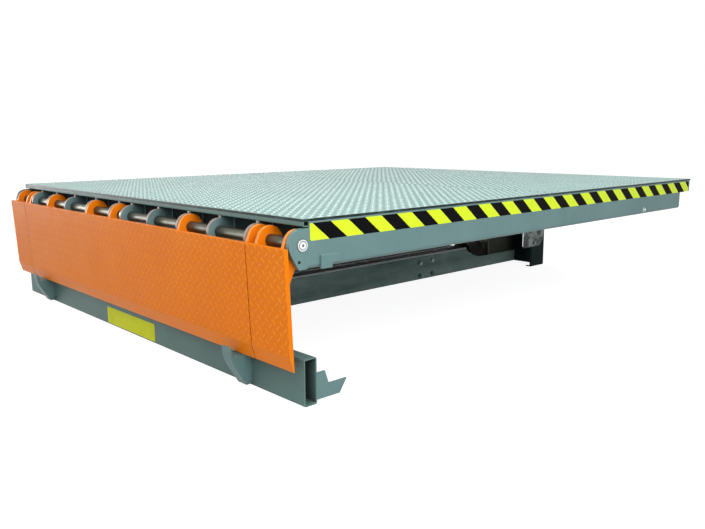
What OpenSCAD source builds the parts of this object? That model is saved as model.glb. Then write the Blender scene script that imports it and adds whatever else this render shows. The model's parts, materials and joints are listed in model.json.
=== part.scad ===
// Dock leveler: a hinged tread-plate platform with a swinging front lip on a ground frame.
// X runs across the platform, Y runs from the front edge to the rear, Z is up from the ground.

/* [Platform] */
// Width of the platform
deck_w = 2200; // [2100:10:2400]
// Length of the platform from its front edge to its rear edge
deck_l = 2550; // [2300:10:3200]
// Height of the platform's top above the ground
deck_h = 545; // [540:5:620]
// Thickness of the tread plate
deck_t = 8; // [6:1:10]
// Height of the angle under the front edge
edge_bar_h = 14; // [10:1:16]
// Depth of the angle under the front edge
edge_bar_d = 18; // [12:0.5:19]
// Plate thickness of the angle under the front edge
edge_bar_t = 3; // [2:0.5:5]
// Inner bend radius of the angle under the front edge
edge_bar_bend = 1; // [0.5:0.5:3]

/* [Side beams] */
// Depth of a side beam below the tread plate
skirt_h = 134; // [125:1:140]
// Plate thickness of a side beam
skirt_t = 8; // [5:1:10]
// Width of a side beam's lower flange
skirt_flange = 48; // [28:1:58]
// Inner bend radius of a side beam
skirt_bend = 4; // [2:0.5:6]
// Front end of a side beam behind the front edge
skirt_front = 20; // [16:1:24]
// Depth of a side beam's shallow tail over the rear frame
tail_h = 54; // [40:1:60]
// Length of the side beam that is only as deep as the tail
tail_l = 115; // [105:1:140]
// Length of a side stop's lower leg
stop_l = 42; // [30:1:60]
// Height of a side stop
stop_h = 39; // [30:1:45]
// Length of a side stop's upper leg
stop_leg_l = 70; // [62:1:90]
// Height of a side stop's upper leg
stop_leg_h = 24; // [16:1:28]
// Thickness of a side stop
stop_t = 8; // [5:1:12]
// Front end of a side stop behind the front edge
stop_front = 58; // [40:1:80]
// Reach of a side stop below the side beam
stop_below = 4; // [2:0.5:8]

/* [Ribs and cross plates] */
// Depth of a rib under the tread plate
rib_h = 100; // [80:1:110]
// Plate thickness of a rib
rib_t = 6; // [4:1:10]
// Width of a rib's lower flange
rib_flange = 45; // [20:1:60]
// Inner bend radius of a rib
rib_bend = 3; // [2:0.5:6]
// Outermost rib from the platform's side
rib_edge = 225; // [180:5:280]
// Thickness of the front and rear cross plates
cross_t = 10; // [6:1:12]
// Front face of the front cross plate behind the front edge
cross_front = 52; // [50:1:56]
// Depth of the rear cross plate below the tread plate
rear_cross_h = 84; // [60:1:88]

/* [Lip hinge] */
// Diameter of the lip hinge shaft
shaft_d = 38; // [30:1:40]
// Radial gap between the shaft and its lugs
shaft_gap = 0.3; // [0.2:0.05:0.5]
// Shaft centre in front of the platform's front edge
shaft_out = 4; // [4:0.5:8]
// Shaft centre below the platform's top
shaft_drop = 73; // [72:0.5:76]
// Length of the shaft beyond each end cheek
shaft_proud = 2; // [1:0.5:6]
// Chamfer at the ends of the shaft
shaft_chamfer = 1.5; // [0.5:0.5:3]
// Nose radius of an end cheek
cheek_r = 47; // [40:0.5:48]
// Thickness of an end cheek
cheek_t = 14; // [10:1:14]
// Width of an end cheek's foot
cheek_foot = 28; // [20:1:30]
// Radius of the small hole in an end cheek
cheek_hole_r = 5; // [3:0.5:6]
// Nose radius of a hinge lug
lug_r = 44; // [36:0.5:45]
// Thickness of a hinge lug
lug_t = 12; // [8:1:14]
// Outer radius of a shaft collar
collar_r = 27; // [24:0.5:32]
// Width of a shaft collar
collar_w = 12; // [8:1:16]

/* [Lip] */
// Overhang of the lip beyond each side of the platform
lip_over = 4; // [2:0.5:8]
// Width of a side flap
flap_w = 184; // [180:1:186]
// Gap between a flap and the middle of the lip
flap_gap = 4; // [2:0.5:6]
// Length of the lip from its hinge edge to its tip
lip_l = 354; // [340:1:358]
// Thickness of the lip plate
lip_t = 14; // [12:1:16]
// Angle at which the hanging lip leans back
lip_lean = 2.4; // [1.5:0.1:3]
// Front face of the lip in front of the shaft centre
lip_out = 68; // [67:0.5:70]
// Hinge edge of the lip below the shaft centre
lip_drop = 5; // [4:0.5:8]
// Length of the bevel at the lip's tip
bevel_l = 45; // [30:1:60]
// Thickness of the lip's tip
tip_t = 3; // [2:0.5:6]
// Length of a lip lug along the back of the lip
lip_lug_l = 134; // [120:1:160]

/* [Front beam] */
// Overhang of the front beam beyond each side of the platform
beam_over = 3.5; // [0:0.5:50]
// Height of the front beam
beam_h = 143; // [130:1:150]
// Depth of the front beam
beam_d = 47; // [40:1:55]
// Wall of the front beam
beam_t = 4; // [3:0.5:6]
// Inner corner radius of the front beam
beam_corner = 2; // [1:0.5:4]
// Front face of the front beam in front of the platform's front edge
beam_out = 9; // [6:0.5:12]
// Length of an anchor plate behind the front beam
anchor_l = 117; // [100:1:140]
// Height of an anchor plate
anchor_h = 82; // [70:1:90]
// Height of an anchor plate's tail
anchor_tail_h = 41; // [30:1:50]
// Length of an anchor plate's full-height part
anchor_neck = 32; // [25:1:40]
// Slant of an anchor plate's ends
anchor_slant = 28; // [20:1:30]
// Thickness of an anchor plate
anchor_t = 6; // [4:1:8]
// Bottom of an anchor plate above the ground
anchor_z = 12; // [8:1:16]

/* [Lip keepers] */
// Middle of a lip keeper from the end of the front beam
keeper_inset = 286.5; // [253.5:0.5:400]
// Width of a lip keeper
keeper_w = 45; // [30:1:60]
// Reach of a lip keeper in front of the front beam
keeper_reach = 76; // [74:1:84]
// Height of the finger's tip above the keeper's seat
finger_h = 30; // [24:1:32]
// Depth of the finger at its tip
finger_tip = 5; // [4:0.5:7]
// Depth of the finger at the keeper's seat
finger_root = 11; // [8:0.5:12]
// Radius of the keeper's front below the finger
finger_round = 110; // [60:1:115]
// Gap between the lip's tip and the keeper's seat
seat_gap = 6; // [5:0.5:10]
// Depth of the keeper at its foot
keeper_foot = 20; // [15:1:30]
// Bottom of a lip keeper above the ground
keeper_z = 6; // [4:1:12]

/* [Spine] */
// Width over both spine channels
spine_w = 164; // [150:1:200]
// Height of a spine channel
spine_h = 134; // [110:1:140]
// Plate thickness of a spine channel
spine_t = 6; // [4:1:8]
// Flange width of a spine channel
spine_flange = 70; // [50:1:72]
// Inner bend radius of a spine channel
spine_bend = 4; // [2:0.5:6]
// Height of a spine channel's tail
spine_tail_h = 68; // [50:1:80]
// Length of a spine channel's tail
spine_tail_l = 356; // [300:1:420]
// Length of the round cut down to a spine channel's tail
spine_slope_l = 122; // [80:1:160]
// Radius of the round cut down to a spine channel's tail
spine_cut_r = 300; // [200:5:500]
// Straight end of the web between the upper flange's bend and the round cut
spine_trim = 4; // [2:0.5:8]

/* [Power unit] */
// Length of the oil tank
tank_l = 240; // [150:1:250]
// Height of the oil tank
tank_h = 172; // [160:1:220]
// Wall of the oil tank
tank_t = 3; // [2:0.5:5]
// Outer corner radius of the oil tank
tank_corner = 14; // [8:1:30]
// Side gap between the oil tank and the bends of the spine channels
tank_gap = 2; // [1:0.5:6]
// Radius of the filler cap
filler_r = 16; // [10:1:24]
// Height of the filler cap
filler_h = 14; // [8:1:20]
// Thickness of the lid between the oil tank and the pump
lid_t = 12; // [8:1:16]
// Side of the pump's housing
pump_s = 96; // [60:1:110]
// Length of the pump's housing
pump_l = 34; // [20:1:40]
// Gap between the motor and the spine's lower flanges
motor_gap = 6; // [3:0.5:12]
// Gap between the motor and the end of the spine's upper flanges
motor_front_gap = 30; // [20:1:40]
// Length of the motor's fan cover
fan_cover_l = 26; // [15:1:30]
// Step from the motor down to its fan cover
fan_cover_step = 6; // [2:0.5:10]
// Chamfer of the fan cover
fan_cover_chamfer = 10; // [4:1:14]
// Width of the upright bracket behind the oil tank
bracket_w = 280; // [200:1:320]
// Height of the upright bracket behind the oil tank
bracket_h = 124; // [100:1:140]
// Thickness of the upright bracket behind the oil tank
bracket_t = 6; // [4:1:8]
// Corner radius of the upright bracket behind the oil tank
bracket_corner = 12; // [6:1:30]

/* [Rear frame] */
// Rear face of the rear posts in front of the platform's rear edge
post_back = 26; // [20:1:30]
// Depth of a rear post
post_d = 138; // [120:1:150]
// Width of a rear post
post_w = 33; // [25:1:40]
// Outer face of a rear post from the middle
post_x = 276; // [230:1:320]
// Plate thickness of a rear post
post_t = 5; // [4:0.5:8]
// Inner bend radius of a rear post
post_bend = 3; // [2:0.5:5]
// Height of the slot under a rear post's front flange
post_slot_h = 20; // [12:1:30]
// Thickness of a rear post's toe under that slot
post_toe_t = 6; // [4:1:10]
// Height of the angle between the rear posts
sill_h = 92; // [85:1:110]
// Depth of the angle between the rear posts
sill_d = 18; // [16:1:40]
// Plate thickness of the angle between the rear posts
sill_t = 6; // [4:1:8]
// Inner bend radius of the angle between the rear posts
sill_bend = 3; // [2:0.5:6]
// Length of a bolted post plate
post_plate_l = 205; // [195:1:240]
// Bottom of a bolted post plate above the ground
post_plate_z = 121; // [100:1:150]
// Top of a bolted post plate above the ground
post_plate_top = 300; // [290:1:340]
// Thickness of a bolted post plate
post_plate_t = 8; // [5:1:12]
// Radius of a bolted post plate's round corner
post_plate_r = 75; // [50:1:90]
// Radius of a bolt hole in a post plate
post_bolt_r = 7; // [5:0.5:9]
// Each end of the rear beam from the platform's side
rear_beam_inset = 50; // [50:1:150]
// Side of the rear beam's square section
rear_beam_s = 60; // [50:1:62]
// Wall of the rear beam
rear_beam_t = 4; // [3:0.5:6]
// Inner corner radius of the rear beam
rear_beam_corner = 2; // [1:0.5:4]
// Rear face of the rear beam in front of the platform's rear edge
rear_beam_back = 30; // [26:1:32]
// Top of the rear beam below the platform's top
rear_beam_drop = 55; // [54:0.5:58]

/* [Rear hinge] */
// Diameter of the rear hinge rod
rod_d = 20; // [16:1:22]
// Rear hinge axis in front of the platform's rear edge
pivot_back = 20; // [18:0.5:24]
// Rear hinge axis below the platform's top
pivot_drop = 30; // [30:0.5:32]
// Nose radius of a rear hinge lug
rear_lug_r = 16; // [13:0.5:16]
// Thickness of a rear hinge lug
rear_lug_t = 12; // [8:1:16]
// Side gap between two rear hinge lugs
rear_lug_gap = 2; // [1:0.5:4]
// Outermost rear hinge from the platform's side
rear_hinge_inset = 140; // [110:1:200]
// Length of the rear hinge rod beyond the outermost lugs
rod_proud = 23; // [5:1:30]

/* [Hidden] */
$fn = 64;

// Colours of the finishes
paint_pale = "#b4cbc6";
paint_grey = "#7d9c97";
paint_dark = "#4c5f5d";
paint_lip = "#dc7a22";
paint_unit = "#3d4038";
zinc = "#c3cbca";

// Levels and edges that several pieces share
deck_under = deck_h - deck_t;
side_x = deck_w / 2;
skirt_in = side_x - skirt_t;
skirt_z = deck_under - skirt_h;
tail_front = deck_l - tail_l;
stop_z = skirt_z - stop_below;
edge_bar_z = deck_under - edge_bar_h;
rib_count = 6;
rib_pitch = (deck_w - 2 * rib_edge) / (rib_count - 1);
rib_z = deck_under - rib_h;
front_cross_back = cross_front + cross_t;
rear_cross_front = tail_front - cross_t;

// Lip hinge axis and the hanging lip, as [y, z]
shaft_axis = [-shaft_out, deck_h - shaft_drop];
shaft_bore_r = shaft_d / 2 + shaft_gap;
lip_top = shaft_axis - [lip_out, lip_drop];
lip_x = side_x + lip_over;
flap_x = lip_x - flap_w;
lug_side = lug_t / 2;
flap_lug_inset = [27, 32];
lip_lug_inset = 23;
lip_lug_x = flap_x - flap_gap - lip_lug_inset + lug_side;
deck_lug_inset = 21;
deck_lug_places = [deck_lug_inset - lip_lug_x, -488, 58, 270, 675];
lip_lug_places = [-lip_lug_x, -678, -250, -32, 498, lip_lug_x];
collar_places = [14, 652];
lip_lug_start = 12;
lip_lug_heel = [-13, -73];
cheek_foot_front = -17;
cheek_chamfer = 9;
cheek_hole = shaft_axis - [11.5, 47];

// Front beam, keeper seat and finger
beam_front = -beam_out;
beam_back = beam_front + beam_d;
beam_w = deck_w + 2 * beam_over;
keeper_x = beam_w / 2 - keeper_inset;
anchor_x = beam_w / 2 - anchor_t;
lip_tip_z = lip_top[1] + lip_t * sin(lip_lean) - lip_l * cos(lip_lean);
seat_z = lip_tip_z - seat_gap;
finger_front = beam_front - keeper_reach;
finger_slope = 40;

// Rear frame levels
rear_beam_top = deck_h - rear_beam_drop;
rear_beam_z = rear_beam_top - rear_beam_s;
rear_beam_rear = deck_l - rear_beam_back;
rear_beam_w = deck_w - 2 * rear_beam_inset;
post_rear = deck_l - post_back;
sill_front = post_rear - post_t - post_bend - sill_d;
post_plate_inset = 19;
post_plate_front = post_rear - post_plate_inset - post_plate_l;
post_bolts = [[100, 20], [180, 110]];
pivot = [deck_l - pivot_back, deck_h - pivot_drop];
rod_r = rod_d / 2;
rod_bore_r = rod_r + shaft_gap;
rear_hinge_count = 5;
rear_hinge_x = side_x - rear_hinge_inset;
rear_hinge_pitch = 2 * rear_hinge_x / (rear_hinge_count - 1);
rear_hinge_places = [for (i = [0:rear_hinge_count - 1]) i * rear_hinge_pitch - rear_hinge_x];
rod_l = 2 * (rear_hinge_x + rear_lug_gap / 2 + rear_lug_t + rod_proud);

// Power unit between the webs of the spine's tails
spine_tail_front = sill_front - spine_tail_l;
tank_w = spine_w - 2 * (spine_t + spine_bend + tank_gap);
tank_rear = sill_front - bracket_t;
tank_front = tank_rear - tank_l;
filler_back = 40;
pump_front = tank_front - lid_t - pump_l;
motor_front = spine_tail_front - spine_slope_l + motor_front_gap;
motor_l = pump_front - motor_front;
motor_r = tank_w / 2;
motor_z = spine_t + motor_gap + motor_r;

// Point where a line from p touches the circle round c, on the side that is named
function touch(c, r, p, side) =
    let (v = p - c, a = atan2(v[1], v[0]) + side * acos(r / norm(v)))
    c + r * [cos(a), sin(a)];

// Point on the back of the hanging lip, a distance down from its hinge edge
function lip_back(down) =
    lip_top + [
        lip_t * cos(lip_lean) + down * sin(lip_lean),
        lip_t * sin(lip_lean) - down * cos(lip_lean)
    ];

// An outline in Y and Z, made a plate that starts at x
module side_plate(x, t) {
    translate([x, 0, 0])
        rotate([90, 0, 90])
            linear_extrude(t)
                children();
}

module left() {
    mirror([1, 0, 0]) children();
}

// A section in X and Z, made a bar along Y that starts at y
module bar_y(y, l) {
    translate([0, y + l, 0])
        rotate([90, 0, 0])
            linear_extrude(l)
                children();
}

// A rectangle with round corners, its lowest corner at the origin
module rounded_rect(w, h, r) {
    translate([r, 0]) square([w - 2 * r, h]);
    translate([0, r]) square([w, h - 2 * r]);
    for (x = [r, w - r], y = [r, h - r])
        translate([x, y]) circle(r);
}

// A tube along X, its corners rounded round their inner radius
module tube_x(w, y, z, d, h, t, corner) {
    side_plate(-w / 2, w)
        translate([y, z])
            difference() {
                rounded_rect(d, h, corner + t);
                translate([t, t]) rounded_rect(d - 2 * t, h - 2 * t, corner);
            }
}

// Section of an angle bent from plate: outer corner at the origin, flange along X, web along Y
module angle_section(flange, web, t, bend) {
    r = bend + t;
    translate([r, 0]) square([flange - r, t]);
    translate([0, r]) square([t, web - r]);
    intersection() {
        translate([-r, -r]) square(2 * r);
        translate([r, r])
            difference() {
                circle(r);
                circle(bend);
            }
    }
}

// Section of a channel bent from plate: web along Y, both flanges along X
module channel_section(flange, h, t, bend) {
    angle_section(flange, h / 2, t, bend);
    translate([0, h])
        mirror([0, 1])
            angle_section(flange, h / 2, t, bend);
}

// Ground frame

module front_beam() {
    color(paint_grey)
        tube_x(beam_w, beam_front, 0, beam_d, beam_h, beam_t, beam_corner);
}

// The keeper's front is an arc that runs smoothly into the upright finger and the slope to the foot
module keeper_outline() {
    foot = [beam_front - keeper_foot, keeper_z];
    corner = [finger_front, seat_z + finger_h - finger_slope];
    slope = (foot - corner) / norm(foot - corner);
    blend = finger_round * tan(acos(-slope[1]) / 2);
    arc_top = corner + [0, blend];
    arc_foot = corner + blend * slope;
    outward = [arc_foot[1] - arc_top[1], arc_top[0] - arc_foot[0]];
    polygon([
        [beam_front, keeper_z],
        foot,
        arc_foot,
        arc_top,
        [finger_front, seat_z + finger_h],
        [finger_front + finger_tip, seat_z + finger_h],
        [finger_front + finger_root, seat_z],
        [beam_front, seat_z]
    ]);
    intersection() {
        translate(arc_top + [finger_round, 0]) circle(finger_round);
        polygon([arc_top - outward / 10, arc_foot - outward / 10, arc_foot + outward, arc_top + outward]);
    }
}

module lip_keeper_right() {
    color(paint_grey)
        side_plate(keeper_x - keeper_w / 2, keeper_w)
            keeper_outline();
}

module lip_keeper_left() {
    left() lip_keeper_right();
}

module anchor_outline() {
    translate([beam_back, anchor_z])
        polygon([
            [0, 0],
            [0, anchor_h],
            [anchor_neck, anchor_h],
            [anchor_neck + anchor_slant / 2, anchor_tail_h],
            [anchor_l, anchor_tail_h],
            [anchor_l - anchor_slant, 0]
        ]);
}

module front_anchor_right() {
    color(paint_grey)
        side_plate(anchor_x, anchor_t)
            anchor_outline();
}

module front_anchor_left() {
    left() front_anchor_right();
}

// The upper flange ends square, and behind it the web has a round cut down to the tail
module spine_outline() {
    web_top = spine_h - spine_t - spine_bend;
    cut_top = [spine_tail_front - spine_slope_l, web_top - spine_trim];
    cut_foot = [spine_tail_front, spine_tail_h];
    chord = cut_foot - cut_top;
    inward = [-chord[1], chord[0]] / norm(chord);
    centre = (cut_top + cut_foot) / 2 + inward * sqrt(pow(spine_cut_r, 2) - pow(norm(chord) / 2, 2));
    translate([beam_back, 0]) square([sill_front - beam_back, spine_tail_h]);
    translate([beam_back, 0]) square([cut_top[0] - beam_back, spine_h]);
    difference() {
        translate([beam_back, 0]) square([spine_tail_front - beam_back, web_top]);
        translate(centre) circle(spine_cut_r);
    }
}

module spine_channel_right() {
    color(paint_dark)
        intersection() {
            bar_y(beam_back, sill_front - beam_back)
                translate([spine_w / 2, 0])
                    mirror([1, 0])
                        channel_section(spine_flange, spine_h, spine_t, spine_bend);
            side_plate(spine_w / 2 - spine_flange, spine_flange)
                spine_outline();
        }
}

module spine_channel_left() {
    left() spine_channel_right();
}

// The sill stands between the webs of the rear posts
module rear_sill() {
    sill_w = 2 * (post_x - post_t);
    color(paint_dark)
        side_plate(-sill_w / 2, sill_w)
            translate([sill_front, 0])
                angle_section(sill_d, sill_h, sill_t, sill_bend);
}

// The front flange stands on a thin toe, with a slot above it
module rear_post_right() {
    slot_w = post_w - post_t - post_bend;
    color(paint_dark)
        difference() {
            linear_extrude(rear_beam_z)
                translate([post_x, post_rear - post_d])
                    mirror([1, 0])
                        channel_section(post_w, post_d, post_t, post_bend);
            translate([post_x - post_w - 1, post_rear - post_d - 1, post_toe_t])
                cube([slot_w + 1, post_t + 2, post_slot_h]);
        }
}

module rear_post_left() {
    left() rear_post_right();
}

module post_plate_outline() {
    plate_h = post_plate_top - post_plate_z;
    round_y = post_plate_l - post_plate_r;
    translate([post_plate_front, post_plate_z])
        difference() {
            union() {
                square([round_y, plate_h]);
                translate([0, post_plate_r]) square([post_plate_l, plate_h - post_plate_r]);
                translate([round_y, post_plate_r]) circle(post_plate_r);
            }
            for (bolt = post_bolts)
                translate(bolt) circle(post_bolt_r);
        }
}

module post_plate_right() {
    color(paint_pale)
        side_plate(post_x, post_plate_t)
            post_plate_outline();
}

module post_plate_left() {
    left() post_plate_right();
}

module rear_beam() {
    color(paint_dark)
        tube_x(
            rear_beam_w, rear_beam_rear - rear_beam_s, rear_beam_z,
            rear_beam_s, rear_beam_s, rear_beam_t, rear_beam_corner
        );
}

module rear_frame_lug_outline() {
    front_foot = [rear_beam_rear - rear_beam_s / 2, rear_beam_top];
    rear_foot = [rear_beam_rear, rear_beam_top];
    difference() {
        union() {
            translate(pivot) circle(rear_lug_r);
            polygon([
                touch(pivot, rear_lug_r, front_foot, -1),
                front_foot,
                rear_foot,
                touch(pivot, rear_lug_r, rear_foot, 1),
                pivot
            ]);
        }
        translate(pivot) circle(rod_bore_r);
    }
}

module rear_frame_lugs() {
    color(paint_dark)
        for (x = rear_hinge_places)
            side_plate(x - rear_lug_t - rear_lug_gap / 2, rear_lug_t)
                rear_frame_lug_outline();
}

module rear_hinge_rod() {
    color(zinc)
        side_plate(-rod_l / 2, rod_l)
            translate(pivot) circle(rod_r);
}

// Power unit

module oil_tank() {
    color(paint_unit) {
        difference() {
            bar_y(tank_front, tank_l)
                translate([-tank_w / 2, spine_t])
                    rounded_rect(tank_w, tank_h, tank_corner);
            bar_y(tank_front - 1, tank_l - tank_t + 1)
                translate([tank_t - tank_w / 2, spine_t + tank_t])
                    rounded_rect(tank_w - 2 * tank_t, tank_h - 2 * tank_t, tank_corner - tank_t);
        }
        translate([0, tank_rear - filler_back, spine_t + tank_h])
            cylinder(r = filler_r, h = filler_h);
    }
}

// The pump's housing on the lid that closes the oil tank
module pump_block() {
    color(zinc) {
        bar_y(tank_front - lid_t, lid_t)
            translate([-tank_w / 2, spine_t])
                rounded_rect(tank_w, tank_h, tank_corner);
        translate([-pump_s / 2, pump_front, motor_z - pump_s / 2])
            cube([pump_s, pump_l, pump_s]);
    }
}

module pump_motor() {
    cover_r = motor_r - fan_cover_step;
    color(paint_unit)
        translate([0, motor_front, motor_z])
            rotate([-90, 0, 0])
                rotate_extrude()
                    polygon([
                        [0, 0],
                        [cover_r - fan_cover_chamfer, 0],
                        [cover_r, fan_cover_chamfer],
                        [cover_r, fan_cover_l],
                        [motor_r, fan_cover_l],
                        [motor_r, motor_l],
                        [0, motor_l]
                    ]);
}

// The bracket stands on the spine's tails, against the sill
module unit_bracket() {
    color(paint_dark)
        bar_y(tank_rear, bracket_t)
            translate([-bracket_w / 2, spine_tail_h])
                rounded_rect(bracket_w, bracket_h, bracket_corner);
}

// Platform

module deck_plate() {
    color(paint_pale)
        translate([-side_x, 0, deck_under])
            cube([deck_w, deck_l, deck_t]);
}

module front_edge_bar() {
    color(paint_grey)
        side_plate(-side_x, deck_w)
            translate([0, edge_bar_z])
                angle_section(edge_bar_d, edge_bar_h, edge_bar_t, edge_bar_bend);
}

module front_cross_plate() {
    color(paint_grey)
        translate([-skirt_in, cross_front, skirt_z + skirt_t + skirt_bend])
            cube([2 * skirt_in, cross_t, skirt_h - skirt_t - skirt_bend]);
}

module rear_cross_plate() {
    color(paint_grey)
        translate([-skirt_in, rear_cross_front, deck_under - rear_cross_h])
            cube([2 * skirt_in, cross_t, rear_cross_h]);
}

// Over the rear frame only the upper part of the web runs on, as a shallow tail
module side_beam_right() {
    beam_l = deck_l - skirt_t - skirt_front;
    color(paint_grey)
        difference() {
            bar_y(skirt_front, beam_l)
                translate([side_x, skirt_z])
                    mirror([1, 0])
                        angle_section(skirt_flange, skirt_h, skirt_t, skirt_bend);
            translate([side_x - skirt_flange - 1, tail_front, skirt_z - 1])
                cube([skirt_flange + 2, tail_l, skirt_h - tail_h + 1]);
        }
}

module side_beam_left() {
    left() side_beam_right();
}

module cheek_outline() {
    foot = [cheek_foot_front, skirt_z];
    foot_rear = cheek_foot_front + cheek_foot;
    top = shaft_axis[1] + cheek_r;
    difference() {
        union() {
            translate(shaft_axis) circle(cheek_r);
            polygon([
                touch(shaft_axis, cheek_r, foot, -1),
                foot,
                [foot_rear, skirt_z],
                [skirt_front, skirt_z + cheek_chamfer],
                [skirt_front, top],
                [shaft_axis[0], top]
            ]);
        }
        translate([skirt_front, skirt_z]) square(2 * cheek_r + skirt_h);
        translate(shaft_axis) circle(shaft_bore_r);
        translate(cheek_hole) circle(cheek_hole_r);
    }
}

module hinge_cheek_right() {
    color(paint_grey)
        side_plate(side_x - cheek_t, cheek_t)
            cheek_outline();
}

module hinge_cheek_left() {
    left() hinge_cheek_right();
}

module side_stop_right() {
    color(paint_pale)
        side_plate(side_x, stop_t)
            translate([stop_front, stop_z])
                union() {
                    square([stop_l, stop_h]);
                    translate([0, stop_h - stop_leg_h]) square([stop_leg_l, stop_leg_h]);
                }
}

module side_stop_left() {
    left() side_stop_right();
}

// A rib on the right, its outer face at x and its flange towards the middle
module rib_right(x) {
    color(paint_grey)
        bar_y(front_cross_back, rear_cross_front - front_cross_back)
            translate([x, rib_z])
                mirror([1, 0])
                    angle_section(rib_flange, rib_h, rib_t, rib_bend);
}

// A rib, counted from the left
module rib(i) {
    x = (i - (rib_count + 1) / 2) * rib_pitch;
    if (x < 0)
        left() rib_right(-x);
    else
        rib_right(x);
}

// A round eye on the shaft, with a body to the cross plate and a neck up to the tread plate
module deck_lug_outline() {
    difference() {
        union() {
            translate(shaft_axis) circle(lug_r);
            translate(shaft_axis - [0, lug_r]) square([cross_front - shaft_axis[0], 2 * lug_r]);
            translate([0, shaft_axis[1]]) square([cross_front, edge_bar_z - shaft_axis[1]]);
            translate([edge_bar_d, shaft_axis[1]])
                square([cross_front - edge_bar_d, deck_under - shaft_axis[1]]);
        }
        translate(shaft_axis) circle(shaft_bore_r);
    }
}

module deck_hinge_lugs() {
    color(paint_grey)
        for (x = deck_lug_places)
            side_plate(x - lug_side, lug_t)
                deck_lug_outline();
}

module rear_deck_lug_outline() {
    heel = [tail_front, pivot[1] - rear_lug_r];
    difference() {
        union() {
            translate(pivot) circle(rear_lug_r);
            polygon([
                heel,
                [tail_front, deck_under],
                [pivot[0] + rear_lug_r, deck_under],
                [pivot[0] + rear_lug_r, pivot[1]],
                pivot,
                [pivot[0], pivot[1] - rear_lug_r]
            ]);
        }
        translate(pivot) circle(rod_bore_r);
    }
}

module rear_deck_lugs() {
    color(paint_grey)
        for (x = rear_hinge_places)
            side_plate(x + rear_lug_gap / 2, rear_lug_t)
                rear_deck_lug_outline();
}

module hinge_shaft() {
    shaft_l = deck_w + 2 * shaft_proud;
    r = shaft_d / 2;
    color(zinc)
        translate([-shaft_l / 2, shaft_axis[0], shaft_axis[1]])
            rotate([0, 90, 0])
                rotate_extrude()
                    polygon([
                        [0, 0],
                        [r - shaft_chamfer, 0],
                        [r, shaft_chamfer],
                        [r, shaft_l - shaft_chamfer],
                        [r - shaft_chamfer, shaft_l],
                        [0, shaft_l]
                    ]);
}

module shaft_collars() {
    color(zinc)
        for (x = collar_places)
            side_plate(x - collar_w / 2, collar_w)
                translate(shaft_axis)
                    difference() {
                        circle(collar_r);
                        circle(shaft_bore_r);
                    }
}

// Lip

module lip_outline() {
    translate(lip_top)
        rotate(lip_lean)
            polygon([
                [0, 0],
                [lip_t, 0],
                [lip_t, -lip_l],
                [lip_t - tip_t, -lip_l],
                [0, bevel_l - lip_l]
            ]);
}

module lip_plate() {
    middle_w = 2 * (flap_x - flap_gap);
    color(paint_lip)
        side_plate(-middle_w / 2, middle_w)
            lip_outline();
}

module lip_flap_right() {
    color(paint_lip)
        side_plate(flap_x, flap_w)
            lip_outline();
}

module lip_flap_left() {
    left() lip_flap_right();
}

module lip_lug_outline() {
    upper = lip_back(lip_lug_start);
    lower = lip_back(lip_lug_start + lip_lug_l);
    heel = shaft_axis + lip_lug_heel;
    difference() {
        union() {
            translate(shaft_axis) circle(lug_r);
            polygon([
                touch(shaft_axis, lug_r, upper, -1),
                upper,
                lower,
                heel,
                touch(shaft_axis, lug_r, heel, 1),
                shaft_axis
            ]);
        }
        translate(shaft_axis) circle(shaft_bore_r);
    }
}

module lip_lugs() {
    color(paint_lip)
        for (x = lip_lug_places)
            side_plate(x - lug_side, lug_t)
                lip_lug_outline();
}

module flap_lugs_right() {
    color(paint_lip)
        for (x = [flap_x + flap_lug_inset[0], lip_x - flap_lug_inset[1]])
            side_plate(x - lug_side, lug_t)
                lip_lug_outline();
}

module flap_lugs_left() {
    left() flap_lugs_right();
}

front_beam();
lip_keeper_left();
lip_keeper_right();
front_anchor_left();
front_anchor_right();
spine_channel_left();
spine_channel_right();
rear_sill();
rear_post_left();
rear_post_right();
post_plate_left();
post_plate_right();
rear_beam();
rear_frame_lugs();
rear_hinge_rod();
oil_tank();
pump_block();
pump_motor();
unit_bracket();
deck_plate();
front_edge_bar();
front_cross_plate();
rear_cross_plate();
side_beam_left();
side_beam_right();
hinge_cheek_left();
hinge_cheek_right();
side_stop_left();
side_stop_right();
rib(1);  // rib_1
rib(2);  // rib_2
rib(3);  // rib_3
rib(4);  // rib_4
rib(5);  // rib_5
rib(6);  // rib_6
deck_hinge_lugs();
rear_deck_lugs();
hinge_shaft();
shaft_collars();
lip_plate();
lip_flap_left();
lip_flap_right();
lip_lugs();
flap_lugs_left();
flap_lugs_right();
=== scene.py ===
"""Looks of a dock leveler: paint, tread plate, warning tape, welds, bolts and a plain studio.

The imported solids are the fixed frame. Everything here sits on them, in metres, and rides on their bodies.
"""

from __future__ import annotations

import json
import logging
import math
from dataclasses import dataclass
from enum import Enum
from functools import cache
from typing import Any

import bmesh
import bpy
from bmesh.types import BMEdge, BMesh, BMFace, BMVert
from bpy.types import Material, Node, NodeSocket, NodeTree, World
from mathutils import Matrix, Vector

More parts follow.
